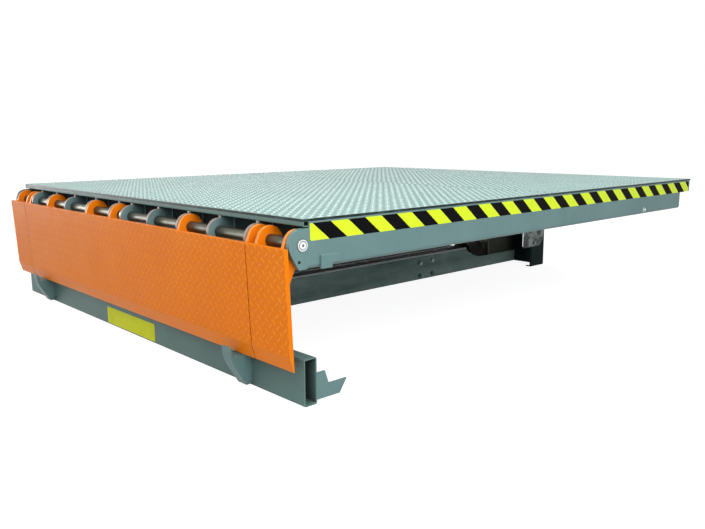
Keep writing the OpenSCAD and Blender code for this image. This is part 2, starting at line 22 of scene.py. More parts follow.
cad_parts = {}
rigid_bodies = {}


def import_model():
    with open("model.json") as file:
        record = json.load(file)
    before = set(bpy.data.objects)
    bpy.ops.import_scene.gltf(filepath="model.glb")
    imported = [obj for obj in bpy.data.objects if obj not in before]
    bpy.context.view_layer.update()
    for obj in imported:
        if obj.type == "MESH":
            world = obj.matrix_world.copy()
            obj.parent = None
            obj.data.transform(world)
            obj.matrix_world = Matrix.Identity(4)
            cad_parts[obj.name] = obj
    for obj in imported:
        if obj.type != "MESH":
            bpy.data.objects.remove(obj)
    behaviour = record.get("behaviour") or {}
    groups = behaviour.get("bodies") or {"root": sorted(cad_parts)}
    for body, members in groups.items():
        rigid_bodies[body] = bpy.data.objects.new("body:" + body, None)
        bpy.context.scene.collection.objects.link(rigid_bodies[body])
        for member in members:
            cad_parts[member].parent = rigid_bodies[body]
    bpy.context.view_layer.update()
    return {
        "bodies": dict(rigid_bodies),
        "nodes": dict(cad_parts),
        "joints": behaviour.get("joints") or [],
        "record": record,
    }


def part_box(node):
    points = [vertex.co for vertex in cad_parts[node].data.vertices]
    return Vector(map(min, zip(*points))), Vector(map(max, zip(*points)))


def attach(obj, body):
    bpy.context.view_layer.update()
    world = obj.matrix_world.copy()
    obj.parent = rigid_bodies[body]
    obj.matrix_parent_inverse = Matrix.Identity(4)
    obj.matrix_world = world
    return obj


log = logging.getLogger("dock_leveler")

MM = 0.001
# Points closer than this are one point
NEAR = 0.001 * MM
# Half the side of a square, or radius of a circle, that is one wide
UNIT = 0.5
# Decimals of a place in metres that tell two faces apart
DECIMALS = 5
# Edges that bend by more than this stay sharp
SHARP_ANGLE = math.radians(40)
# Least cosine between a face's normal and the way asked for, and between two faces of one flat
FACING = math.cos(math.radians(25))
SAME_FLAT = math.cos(math.radians(1))


class Body(Enum):
    """Groups of pieces that move together."""

    BASE = "base_frame"
    PLATFORM = "platform"
    LIP = "lip"


class Slot(Enum):
    """Material slots of the record."""

    DECK = "deck_paint"
    FRAME = "frame_paint"
    BASE = "base_paint"
    LIP = "lip_paint"
    ZINC = "zinc_steel"


class Side(Enum):
    """Sides of the leveler, as the sign of X."""

    LEFT = -1
    RIGHT = 1

    @property
    def word(self) -> str:
        """The side's name as it stands in node names."""
        return self.name.lower()

    @property
    def out(self) -> Vector:
        """The direction away from the leveler's middle."""
        return Vector((self.value, 0, 0))


def linear(hex_colour: str) -> tuple[float, float, float, float]:
    """Turns an sRGB hex colour into linear values.

    Args:
        hex_colour: Colour in the form #RRGGBB.

    Returns:
        Red, green, blue and alpha, linear.
    """
    channels = [int(hex_colour[i:i + 2], 16) / 255 for i in (1, 3, 5)]
    curve = [c / 12.92 if c <= 0.04045 else ((c + 0.055) / 1.055) ** 2.4 for c in channels]
    return (curve[0], curve[1], curve[2], 1.0)


def feed(tree: NodeTree, node: Node, inputs: dict[Any, Any]) -> None:
    """Links or sets the inputs of a node.

    Args:
        tree: Node tree of the node.
        node: The node.
        inputs: Values by input name or number: a socket is linked, anything else is set.
    """
    for socket, value in inputs.items():
        if isinstance(value, NodeSocket):
            tree.links.new(value, node.inputs[socket])
        else:
            node.inputs[socket].default_value = value


def add_node(tree: NodeTree, kind: str, inputs: dict[Any, Any] | None = None, **settings: Any) -> Node:
    """Adds a node with its settings, and links or fills its inputs.

    Args:
        tree: Node tree that takes the node.
        kind: Type name of the node.
        inputs: Values by input name or number, as feed takes them.
        **settings: Attributes of the node.

    Returns:
        The new node.
    """
    node = tree.nodes.new(kind)
    for name, value in settings.items():
        setattr(node, name, value)
    feed(tree, node, inputs or {})
    return node


def per_metre(size_mm: float) -> float:
    """Texture scale that gives features of a size in millimetres on Object coordinates."""
    return 1.0 / (size_mm * MM)


@dataclass(frozen=True)
class Paint:
    """Enamel sprayed on steel plate, with patches, dust, edges rubbed thin and painted shade in corners and
    gaps.

    Attributes:
        name: Name of the finish.
        colour: Main colour.
        shade: Colour of its duller patches.
        edge: Colour on rubbed edges.
        dust: Colour of dust and scuffs.
        roughness: Middle roughness.
        coat: Weight of the glossy top layer.
        wear: Share of the edge colour on sharp edges.
        dusty: Share of dust in the dusty patches.
        patch_mm: Size of the duller patches.
        dust_mm: Size of the dusty patches.
        peel_mm: Width of the ripples left by spraying, drawn coarser than real so that they show.
        peel_depth_mm: Depth of those ripples.
        edge_mm: Radius of sheared edges.
        specular: Specular level.
        plate_axis: Axis across the plate, 0 for X or 2 for Z, by which its cut edges and shaded faces are
            told.
        cut_edge_and_shade: Colour of those faces: cut edges on the lugs, and painted shade on the deck's
            edges and the spine's flanges.
        streak: Stretch of the duller patches along Y.
        crevice_shade: Colour of the painted shade in corners, recesses and narrow gaps.
        crevice_shade_share: Share of that painted shade where it is deepest.
        crevice_shade_mm: Reach of a corner's painted shade.
        painted_light_band_mm: Lowest and highest place of a strip of painted light, such as the lip's bevel
            or the spine's bend.
        painted_light_band: Colour of that strip.
        dust_span: Noise values between which the dust goes from none to full.
    """

    name: str
    colour: str
    shade: str
    edge: str
    dust: str
    roughness: float
    coat: float = 0.0
    wear: float = 0.5
    dusty: float = 0.25
    patch_mm: float = 420.0
    dust_mm: float = 90.0
    peel_mm: float = 7.0
    peel_depth_mm: float = 0.12
    edge_mm: float = 1.6
    specular: float = 0.25
    plate_axis: int = 2
    cut_edge_and_shade: str | None = None
    streak: float = 1.0
    crevice_shade: str = "#23241F"
    crevice_shade_share: float = 0.75
    crevice_shade_mm: float = 30.0
    painted_light_band_mm: tuple[float, float] = (0.0, 0.0)
    painted_light_band: str | None = None
    dust_span: tuple[float, float] = (0.5, 0.74)

    def build(self) -> Material:
        """Makes the material.

        Returns:
            The paint as a node material.
        """
        material, tree, shader = blank_material(self.name)
        where = add_node(tree, "ShaderNodeTexCoord")
        place = where.outputs["Object"]
        # Slow change of tone across the plate, as thicker and thinner paint gives
        along = add_node(tree, "ShaderNodeMapping", {"Vector": place, "Scale": (1.0, 1.0 / self.streak, 1.0)})
        patch = add_node(tree, "ShaderNodeTexNoise", {
            "Vector": along.outputs["Vector"], "Scale": per_metre(self.patch_mm), "Detail": 4.0,
            "Roughness": 0.6})
        tone = add_node(tree, "ShaderNodeMapRange", {
            "Value": patch.outputs["Fac"], "From Min": 0.35, "From Max": 0.68})
        layers = [(tone.outputs["Result"], self.shade)]
        if self.cut_edge_and_shade:
            # Faces that turn from the plate, told by the way that a face looks: cut edges, and painted shade
            # on the deck's edges and the spine's flanges
            facing = add_node(tree, "ShaderNodeSeparateXYZ", {0: where.outputs["Normal"]})
            square_on = add_node(
                tree, "ShaderNodeMath", {0: facing.outputs[self.plate_axis]}, operation="ABSOLUTE")
            cut = add_node(tree, "ShaderNodeMapRange", {
                "Value": square_on.outputs["Value"], "From Min": 0.9, "From Max": 0.6})
            layers.append((cut.outputs["Result"], self.cut_edge_and_shade))
        if self.painted_light_band:
            # Strip of painted light along the plate: a white painted highlight on the spine's bend, and the
            # lip's bevel painted a touch lighter against its shade
            height = add_node(tree, "ShaderNodeSeparateXYZ", {0: place})
            low, high = self.painted_light_band_mm
            inside = add_node(tree, "ShaderNodeMath", {
                0: height.outputs["Z"], 1: (low + high) / 2 * MM, 2: (high - low) / 2 * MM},
                operation="COMPARE")
            layers.append((inside.outputs["Value"], self.painted_light_band))
        # Dust and scuffs in broken patches
        specks = add_node(tree, "ShaderNodeTexNoise", {
            "Vector": place, "Scale": per_metre(self.dust_mm), "Detail": 9.0, "Roughness": 0.72})
        dusty = add_node(tree, "ShaderNodeMapRange", {
            "Value": specks.outputs["Fac"], "From Min": self.dust_span[0], "From Max": self.dust_span[1],
            "To Max": self.dusty})
        # Edges catch light on their rounding, and their paint is rubbed thin
        rounding = add_node(tree, "ShaderNodeBevel", {"Radius": self.edge_mm * MM}, samples=6)
        surface = add_node(tree, "ShaderNodeNewGeometry")
        turn = add_node(tree, "ShaderNodeVectorMath", {
            0: rounding.outputs["Normal"], 1: surface.outputs["Normal"]}, operation="DOT_PRODUCT")
        rim = add_node(tree, "ShaderNodeMapRange", {
            "Value": turn.outputs["Value"], "From Min": 0.985, "From Max": 0.8, "To Max": self.wear})
        broken = add_node(tree, "ShaderNodeMapRange", {
            "Value": specks.outputs["Fac"], "From Min": 0.36, "From Max": 0.56})
        rubbed = add_node(tree, "ShaderNodeMath", {
            0: rim.outputs["Result"], 1: broken.outputs["Result"]}, operation="MULTIPLY")
        # Painted shade: colour darkened where ambient occlusion finds corners, recesses and narrow gaps
        shelter = add_node(tree, "ShaderNodeAmbientOcclusion", {"Distance": self.crevice_shade_mm * MM}, samples=8)
        occluded_shade = add_node(tree, "ShaderNodeMapRange", {
            "Value": shelter.outputs["AO"], "From Min": 0.5, "From Max": 0.12, "To Max": self.crevice_shade_share})
        layers.append((dusty.outputs["Result"], self.dust))
        layers.append((rubbed.outputs["Value"], self.edge))
        layers.append((occluded_shade.outputs["Result"], self.crevice_shade))
        colour: Any = linear(self.colour)
        for share, over in layers:
            mix = add_node(tree, "ShaderNodeMix", {0: share, 6: colour, 7: linear(over)}, data_type="RGBA")
            colour = mix.outputs[2]
        gloss = add_node(tree, "ShaderNodeMapRange", {
            "Value": specks.outputs["Fac"], "From Min": 0.3, "From Max": 0.75,
            "To Min": self.roughness - 0.07, "To Max": self.roughness + 0.13})
        peel = add_node(tree, "ShaderNodeTexNoise", {
            "Vector": place, "Scale": per_metre(self.peel_mm), "Detail": 2.0})
        bump = add_node(tree, "ShaderNodeBump", {
            "Height": peel.outputs["Fac"], "Distance": self.peel_depth_mm * MM, "Strength": 0.6,
            "Normal": rounding.outputs["Normal"]})
        feed(tree, shader, {
            "Base Color": colour, "Roughness": gloss.outputs["Result"],
            "Normal": bump.outputs["Normal"], "IOR": 1.5, "Specular IOR Level": self.specular,
            "Coat Weight": self.coat, "Coat Roughness": 0.12})
        return material


@dataclass(frozen=True)
class TurnedZinc:
    """Bright zinc plating on turned steel bar, with fine rings from the lathe.

    Attributes:
        name: Name of the finish.
        colour: Colour of the bright metal.
        stain: Colour of its dull, oily patches.
        roughness: Middle roughness.
        ring_mm: Spacing of the lathe rings, drawn coarser than real so that they show.
        stain_mm: Size of the dull patches.
        depth_mm: Depth of the lathe rings.
    """

    name: str
    colour: str
    stain: str
    roughness: float
    ring_mm: float = 3.0
    stain_mm: float = 35.0
    depth_mm: float = 0.05

    def build(self) -> Material:
        """Makes the material.

        Returns:
            The metal as a node material.
        """
        material, tree, shader = blank_material(self.name)
        place = add_node(tree, "ShaderNodeTexCoord").outputs["Object"]
        along = add_node(tree, "ShaderNodeMapping", {
            "Vector": place, "Scale": (per_metre(self.ring_mm), 1.0, 1.0)})
        rings = add_node(tree, "ShaderNodeTexNoise", {
            "Vector": along.outputs["Vector"], "Scale": 1.0, "Detail": 3.0})
        oil = add_node(tree, "ShaderNodeTexNoise", {
            "Vector": place, "Scale": per_metre(self.stain_mm), "Detail": 6.0, "Roughness": 0.65})
        dull = add_node(tree, "ShaderNodeMapRange", {
            "Value": oil.outputs["Fac"], "From Min": 0.45, "From Max": 0.7, "To Max": 0.6})
        colour = add_node(tree, "ShaderNodeMix", {
            0: dull.outputs["Result"], 6: linear(self.colour), 7: linear(self.stain)}, data_type="RGBA")
        gloss = add_node(tree, "ShaderNodeMapRange", {
            "Value": rings.outputs["Fac"], "From Min": 0.3, "From Max": 0.7,
            "To Min": self.roughness - 0.04, "To Max": self.roughness + 0.06})
        bump = add_node(tree, "ShaderNodeBump", {
            "Height": rings.outputs["Fac"], "Distance": self.depth_mm * MM, "Strength": 0.1})
        feed(tree, shader, {
            "Base Color": colour.outputs[2], "Roughness": gloss.outputs["Result"],
            "Normal": bump.outputs["Normal"], "Metallic": 1.0})
        return material


@dataclass(frozen=True)
class Film:
    """Adhesive vinyl film, smooth and slightly wavy where it follows the plate.

    Attributes:
        name: Name of the finish.
        colour: Main colour.
        faded: Colour of its faded or soiled places.
        roughness: Middle roughness.
        specular: Specular level, low on the black so that it stays deep.
        wave_mm: Length of the waves in the film.
        soil_mm: Size of the soiled places.
    """

    name: str
    colour: str
    faded: str
    roughness: float
    specular: float
    wave_mm: float = 40.0
    soil_mm: float = 25.0

    def build(self) -> Material:
        """Makes the material.

        Returns:
            The film as a node material.
        """
        material, tree, shader = blank_material(self.name)
        place = add_node(tree, "ShaderNodeTexCoord").outputs["Object"]
        soil = add_node(tree, "ShaderNodeTexNoise", {
            "Vector": place, "Scale": per_metre(self.soil_mm), "Detail": 7.0, "Roughness": 0.7})
        faded = add_node(tree, "ShaderNodeMapRange", {
            "Value": soil.outputs["Fac"], "From Min": 0.48, "From Max": 0.78, "To Max": 0.7})
        colour = add_node(tree, "ShaderNodeMix", {
            0: faded.outputs["Result"], 6: linear(self.colour), 7: linear(self.faded)}, data_type="RGBA")
        gloss = add_node(tree, "ShaderNodeMapRange", {
            "Value": soil.outputs["Fac"], "From Min": 0.3, "From Max": 0.75,
            "To Min": self.roughness - 0.06, "To Max": self.roughness + 0.12})
        wave = add_node(tree, "ShaderNodeTexNoise", {
            "Vector": place, "Scale": per_metre(self.wave_mm), "Detail": 1.0})
        bump = add_node(tree, "ShaderNodeBump", {
            "Height": wave.outputs["Fac"], "Distance": 0.4 * MM, "Strength": 0.5})
        feed(tree, shader, {
            "Base Color": colour.outputs[2], "Roughness": gloss.outputs["Result"],
            "Normal": bump.outputs["Normal"], "IOR": 1.48, "Specular IOR Level": self.specular})
        return material


Finish = Paint | TurnedZinc | Film


def empty_tree(owner: Material | World) -> NodeTree:
    """Gives a material or a world an empty node tree.

    Args:
        owner: The material or world.

    Returns:
        Its node tree.
    """
    owner.use_nodes = True
    owner.node_tree.nodes.clear()
    return owner.node_tree


def blank_material(name: str) -> tuple[Material, NodeTree, Node]:
    """Starts a node material with one Principled shader.

    Args:
        name: Name of the material.

    Returns:
        The material, its node tree and the shader.
    """
    material = bpy.data.materials.new(name)
    tree = empty_tree(material)
    shader = add_node(tree, "ShaderNodeBsdfPrincipled")
    add_node(tree, "ShaderNodeOutputMaterial", {"Surface": shader.outputs["BSDF"]})
    return material, tree, shader


@cache
def dressed(finish: Finish) -> Material:
    """The material of a finish, made once."""
    return finish.build()


# Gloss alkyd enamel on rolled tread plate: duller than the tears, darker as painted shade between them, and
# near black on the cut edges as thin paint with painted shade
DECK_PAINT = Paint(
    "gloss_enamel_tread_plate", "#6D948E", "#658C86", "#A9C6C1", "#83A7A1",
    roughness=0.36, wear=0.2, dusty=0.25, dust_mm=60.0, specular=0.15, cut_edge_and_shade="#1C2624")
# The same enamel on the raised tears, pale as painted highlight and glossier than the plate
TEAR_PAINT = Paint(
    "pale_enamel_tears_painted_highlight", "#B4D6D0", "#AACCC6", "#D2E8E4", "#B4D2CD",
    roughness=0.26, coat=0.3, wear=0.3, dusty=0.25, dust_mm=60.0, edge_mm=0.6, specular=0.3, crevice_shade_share=0.0)
# Satin alkyd enamel on folded plate: an even grey-green with a soft sheen
FRAME_PAINT = Paint(
    "satin_enamel_folded_plate", "#698887", "#607E7E", "#A9BEBA", "#7D9696",
    roughness=0.42, wear=0.55, specular=0.18)
# The same enamel on flame-cut lugs: grey-green sides and rims where a warm primer shows through, and
# near-black painted shade deep in the recess behind them
LUG_PAINT = Paint(
    "satin_enamel_cut_lugs", "#6E8A8A", "#647F80", "#C8B2A6", "#86A09C", roughness=0.42, wear=0.5,
    plate_axis=0, cut_edge_and_shade="#A28B80", crevice_shade="#0C1012", crevice_shade_share=0.9, crevice_shade_mm=130.0)
# Enamel on the plate behind the hinge, dark as painted shade of the recess, with little gloss
CROSS_PAINT = Paint(
    "dark_enamel_cross_plate_painted_shade", "#3C474B", "#343E42", "#5A686A", "#465255", roughness=0.6, specular=0.05)
# Satin enamel on the front tube, darker than the frame's as painted shade, with pale sawn ends and deep
# painted shade inside the tube
BEAM_PAINT = Paint(
    "satin_enamel_front_tube_painted_shade", "#5F7C77", "#56716D", "#9DB4AF", "#6F8A85",
    roughness=0.46, wear=0.7, specular=0.15, crevice_shade_mm=90.0, crevice_shade_share=0.85)
# Satin enamel on the spine: grey-green, painted paler than the frame as painted light against the shade under
# the deck, streaked along its length, with painted shade on its flanges and a white painted highlight along
# its top bend
SPINE_PAINT = Paint(
    "streaked_enamel_spine", "#B0CAC5", "#6C8582", "#E4ECE9", "#BDD0CB",
    roughness=0.5, wear=0.9, dusty=0.5, dust_mm=110.0, specular=0.02, patch_mm=130.0, streak=7.0,
    edge_mm=3.0, plate_axis=0, cut_edge_and_shade="#1A2120", painted_light_band_mm=(127.0, 133.7), painted_light_band="#FFFFFF")
# Dark enamel on the rear posts and what stands between them, darker still as painted shade
REAR_PAINT = Paint(
    "dark_enamel_rear_frame", "#263536", "#1F2C2D", "#586765", "#334243",
    roughness=0.55, wear=0.4, specular=0.04)
# Dark enamel of the motor, as dark as the shade under the deck: painted shade
MOTOR_PAINT = Paint(
    "black_enamel_motor", "#25211C", "#1D1A16", "#4A4740", "#2E2B25", roughness=0.5, specular=0.08)
# Olive enamel of the oil tank, dull from an oily film, and dark as the shade under the deck: painted shade
TANK_PAINT = Paint(
    "olive_enamel_tank", "#4E5345", "#43483D", "#767B6C", "#5C6153",
    roughness=0.45, specular=0.15, patch_mm=120.0)
# Satin orange enamel on the lip: warm, with thin pale edges, its ground bevel at the foot painted a touch
# lighter against its shade, and deep painted shade in the gaps between its plates
LIP_PAINT = Paint(
    "satin_enamel_orange_lip", "#EE7F06", "#E77604", "#FFC08A", "#F19A4A",
    roughness=0.34, wear=0.25, dusty=0.05, specular=0.09, edge_mm=1.5, crevice_shade="#1E0D04", crevice_shade_share=1.0,
    peel_depth_mm=0.05, painted_light_band_mm=(80.0, 160.5), painted_light_band="#EE8006")
# The same orange on the raised tears of the lip, matt, and slightly paler as painted highlight
LIP_TEAR_PAINT = Paint(
    "matt_enamel_lip_tears_painted_highlight", "#F7931F", "#F28A16", "#FFAA58", "#F59A38",
    roughness=0.5, wear=0.1, dusty=0.05, edge_mm=0.6, specular=0.04, crevice_shade_share=0.0)
# The same orange on the lip's flame-cut lugs, a little brighter than the lip as painted light against the
# cheek's shade, with paler rims
LIP_LUG_PAINT = Paint(
    "orange_enamel_cut_lugs", "#F98409", "#F17A06", "#FFC79A", "#F19A4A", roughness=0.38, wear=0.5,
    dusty=0.1, specular=0.1, crevice_shade="#4A1E06", crevice_shade_share=0.3, plate_axis=0, cut_edge_and_shade="#EE9440")
# Galvanised plate: grey with pale crystals and dark stains
GALVANISED = Paint(
    "galvanised_plate", "#667774", "#2A3432", "#C3D0CC", "#DFEAE6",
    roughness=0.4, patch_mm=60.0, dust_mm=75.0, dusty=0.85, dust_span=(0.46, 0.57), wear=0.3, specular=0.15)
# Turned shaft: an oily bar that mirrors what lies round it, darkened to an olive-grey as painted shade that
# keeps its mirror images dim
SHAFT_ZINC = TurnedZinc(
    "turned_zinc_shaft", "#66675C", "#3F3E35", roughness=0.42, stain_mm=120.0, depth_mm=0.01)
# Oily aluminium casting of the pump: dull, and dark as painted shade of the space under the deck
PUMP_CASTING = TurnedZinc("dark_cast_pump_painted_shade", "#5B5A4F", "#38372E", roughness=0.5, stain_mm=40.0)
# Faced shaft end: bright, with rings from the lathe
SHAFT_END = TurnedZinc("faced_shaft_end", "#E9EEF2", "#B9C0C4", roughness=0.34, ring_mm=1.5, stain_mm=9.0)
# Zinc-plated bolts, nuts and collars: small, bright and slightly dull
BOLT_ZINC = TurnedZinc("zinc_plated_bolt", "#CFD6D4", "#98A09C", roughness=0.36, ring_mm=1.5, stain_mm=8.0)
# The same bolts on the ground frame: darker and duller
GROUND_BOLT = TurnedZinc(
    "dull_zinc_ground_bolt", "#7E8886", "#535B59", roughness=0.44, ring_mm=1.5, stain_mm=8.0)
# Yellow vinyl film: saturated, almost without gloss in its colour
TAPE_YELLOW = Film("yellow_warning_film", "#DAF22A", "#CBE03A", roughness=0.4, specular=0.2)
# Black vinyl film: deep black
TAPE_BLACK = Film("black_warning_film", "#0A090C", "#141317", roughness=0.6, specular=0.04)
# Printed metal plate left bare: plain yellow lacquer
LABEL_YELLOW = Film("yellow_lacquer_plate", "#D6DE14", "#C6CD22", roughness=0.4, specular=0.08, soil_mm=60.0)

SLOT_FINISH: dict[Slot, Finish] = {
    Slot.DECK: DECK_PAINT,
    Slot.FRAME: FRAME_PAINT,
    Slot.BASE: REAR_PAINT,
    Slot.LIP: LIP_PAINT,
    Slot.ZINC: SHAFT_ZINC,
}
NODE_FINISH: dict[str, Finish] = {
    "front_beam": BEAM_PAINT,
    "front_edge_bar": BEAM_PAINT,
    "spine_channel_left": SPINE_PAINT,
    "spine_channel_right": SPINE_PAINT,
    "post_plate_left": GALVANISED,
    "post_plate_right": GALVANISED,
    "oil_tank": TANK_PAINT,
    "pump_block": PUMP_CASTING,
    "pump_motor": MOTOR_PAINT,
    "front_cross_plate": CROSS_PAINT,
    "deck_hinge_lugs": LUG_PAINT,
    "shaft_collars": BOLT_ZINC,
    "lip_lugs": LIP_LUG_PAINT,
    "flap_lugs_left": LIP_LUG_PAINT,
    "flap_lugs_right": LIP_LUG_PAINT,
}


def dress_solids(frame: dict[str, Any]) -> None:
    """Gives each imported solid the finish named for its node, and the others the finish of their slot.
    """
    slots = {row["node"]: Slot(row["material_slot"]) for row in frame["record"]["subparts"]}
    for node, solid in frame["nodes"].items():
        material = dressed(NODE_FINISH.get(node, SLOT_FINISH[slots[node]]))
        if not solid.material_slots:
            solid.data.materials.append(material)
        for slot in solid.material_slots:
            slot.material = material
    log.info("dressed %d solids", len(frame["nodes"]))


def finish_piece(bm: BMesh, name: str, finishes: list[Finish], body: Body) -> None:
    """Turns a bmesh into a piece that rides on a body.

    Args:
        bm: The shape, in the part's frame. It is freed.
        name: Name of the piece.
        finishes: Finishes in the order of the faces' material numbers.
        body: Body that carries the piece.
    """
    bmesh.ops.recalc_face_normals(bm, faces=bm.faces[:])
    for face in bm.faces:
        face.smooth = True
    mesh = bpy.data.meshes.new(name)
    bm.to_mesh(mesh)
    bm.free()
    mesh.set_sharp_from_angle(angle=SHARP_ANGLE)
    for finish in finishes:
        mesh.materials.append(dressed(finish))
    piece = bpy.data.objects.new(name, mesh)
    bpy.context.scene.collection.objects.link(piece)
    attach(piece, body.value)
    mesh.calc_loop_triangles()
    log.info("%s: %d triangles on %s", name, len(mesh.loop_triangles), body.value)


def everything(bm: BMesh) -> list[Any]:
    """All vertices, edges and faces of a mesh."""
    return bm.verts[:] + bm.edges[:] + bm.faces[:]


def grown_verts(result: dict[str, Any]) -> list[BMVert]:
    """The vertices among what an extrude made."""
    return [item for item in result["geom"] if isinstance(item, BMVert)]


def upright(seat: Vector, axis: Vector) -> Matrix:
    """A frame at a point with Z along an axis.

    Args:
        seat: Origin of the frame.
        axis: Direction of its Z.

    Returns:
        The matrix from that frame to the part's frame.
    """
    return Matrix.Translation(seat) @ axis.to_track_quat("Z", "Y").to_matrix().to_4x4()


def add_disc(bm: BMesh, place: Matrix, sides: int, diameter: float, height: float, chamfer: float) -> None:
    """Adds a round or many-sided disc with a chamfered top.

    Args:
        bm: Mesh that takes it.
        place: Frame of its foot, Z up.
        sides: Number of sides.
        diameter: Diameter over the corners, in metres.
        height: Height, in metres.
        chamfer: Chamfer of the top edge, in metres.
    """
    ring = bmesh.ops.create_circle(bm, cap_ends=True, radius=diameter / 2, segments=sides, matrix=place)
    foot = ring["verts"][0].link_faces[0]
    top = grown_verts(bmesh.ops.extrude_face_region(bm, geom=[foot]))
    up = place.to_3x3() @ Vector((0, 0, height))
    bmesh.ops.translate(bm, vec=up, verts=top)
    lid = next(f for f in top[0].link_faces if all(v in top for v in f.verts))
    bmesh.ops.bevel(
        bm, geom=list(lid.edges), offset=chamfer, offset_type="OFFSET", affect="EDGES",
        segments=1, profile=0.5, material=-1)


@dataclass(frozen=True)
class HexBolt:
    """A hexagon bolt head or nut on a flat washer, in millimetres.

    Attributes:
        across: Width over the corners of the head.
        head: Height of the head.
        washer: Diameter of the washer.
        washer_t: Thickness of the washer.
        tip: Diameter of the thread's end above a nut.
        tip_h: Height of that end.
        sides: Number of sides of the washer, the head and the tip.
        chamfers: Chamfers of the washer, the head and the tip.
    """

    across: float = 21.0
    head: float = 8.0
    washer: float = 26.0
    washer_t: float = 2.5
    tip: float = 10.0
    tip_h: float = 2.0
    sides: tuple[int, int, int] = (24, 6, 16)
    chamfers: tuple[float, float, float] = (0.4, 1.2, 0.8)

    def set(self, bm: BMesh, seat: Vector, axis: Vector) -> None:
        """Adds the bolt to a mesh.

        Args:
            bm: Mesh that takes it.
            seat: Point on the plate under the washer.
            axis: Direction away from the plate.
        """
        foot = upright(seat, axis)
        across = (self.washer, self.across, self.tip)
        heights = (self.washer_t, self.head, self.tip_h)
        for sides, diameter, height, chamfer in zip(self.sides, across, heights, self.chamfers):
            add_disc(bm, foot, sides, diameter * MM, height * MM, chamfer * MM)
            foot = foot @ Matrix.Translation((0, 0, height * MM))


@dataclass(frozen=True)
class WeldBead:
    """A fillet weld laid by hand, in millimetres.

    Attributes:
        radius: Radius of the bead.
        step: Spacing of its ripples.
        ripple: Depth of the ripples as a share of the radius.
        sides: Number of sides of its section.
        start: Size of its start as a share of the radius.
        stop: Size of its end as a share of the radius.
    """

    radius: float = 3.5
    step: float = 4.0
    ripple: float = 0.14
    sides: int = 8
    start: float = 0.5
    stop: float = 0.55

    def lay(self, bm: BMesh, start: Vector, end: Vector) -> None:
        """Adds a straight bead to a mesh.

        Args:
            bm: Mesh that takes it.
            start: Its start, in the corner between the plates.
            end: Its end.
        """
        run = end - start
        rings = max(2, round(run.length / (self.step * MM)))
        ring = bmesh.ops.create_circle(
            bm, cap_ends=True, radius=self.radius * self.start * MM, segments=self.sides,
            matrix=upright(start, run.normalized()))
        face = ring["verts"][0].link_faces[0]
        for i in range(1, rings + 1):
            grown = bmesh.ops.extrude_face_region(bm, geom=[face])
            verts = grown_verts(grown)
            if i > 1:
                bmesh.ops.delete(bm, geom=[face], context="FACES_ONLY")
            face = next(item for item in grown["geom"] if isinstance(item, BMFace))
            bmesh.ops.translate(bm, vec=run / rings, verts=verts)
            target = self.radius * MM * (1.0 - self.ripple * (i % 2)) * (self.stop if i == rings else 1.0)
            centre = start + run * i / rings
            now = (verts[0].co - centre).length
            bmesh.ops.scale(
                bm, vec=(target / now,) * 3, verts=verts, space=Matrix.Translation(-centre))

    def rise(self, bm: BMesh, x: float, y: float, low: float, high: float) -> None:
        """Adds an upright bead to a mesh.

        Args:
            bm: Mesh that takes it.
            x: Its place along X, in metres.
            y: Its place along Y, in metres.
            low: Its lower end, in metres.
            high: Its upper end, in metres.
        """
        self.lay(bm, Vector((x, y, low)), Vector((x, y, high)))


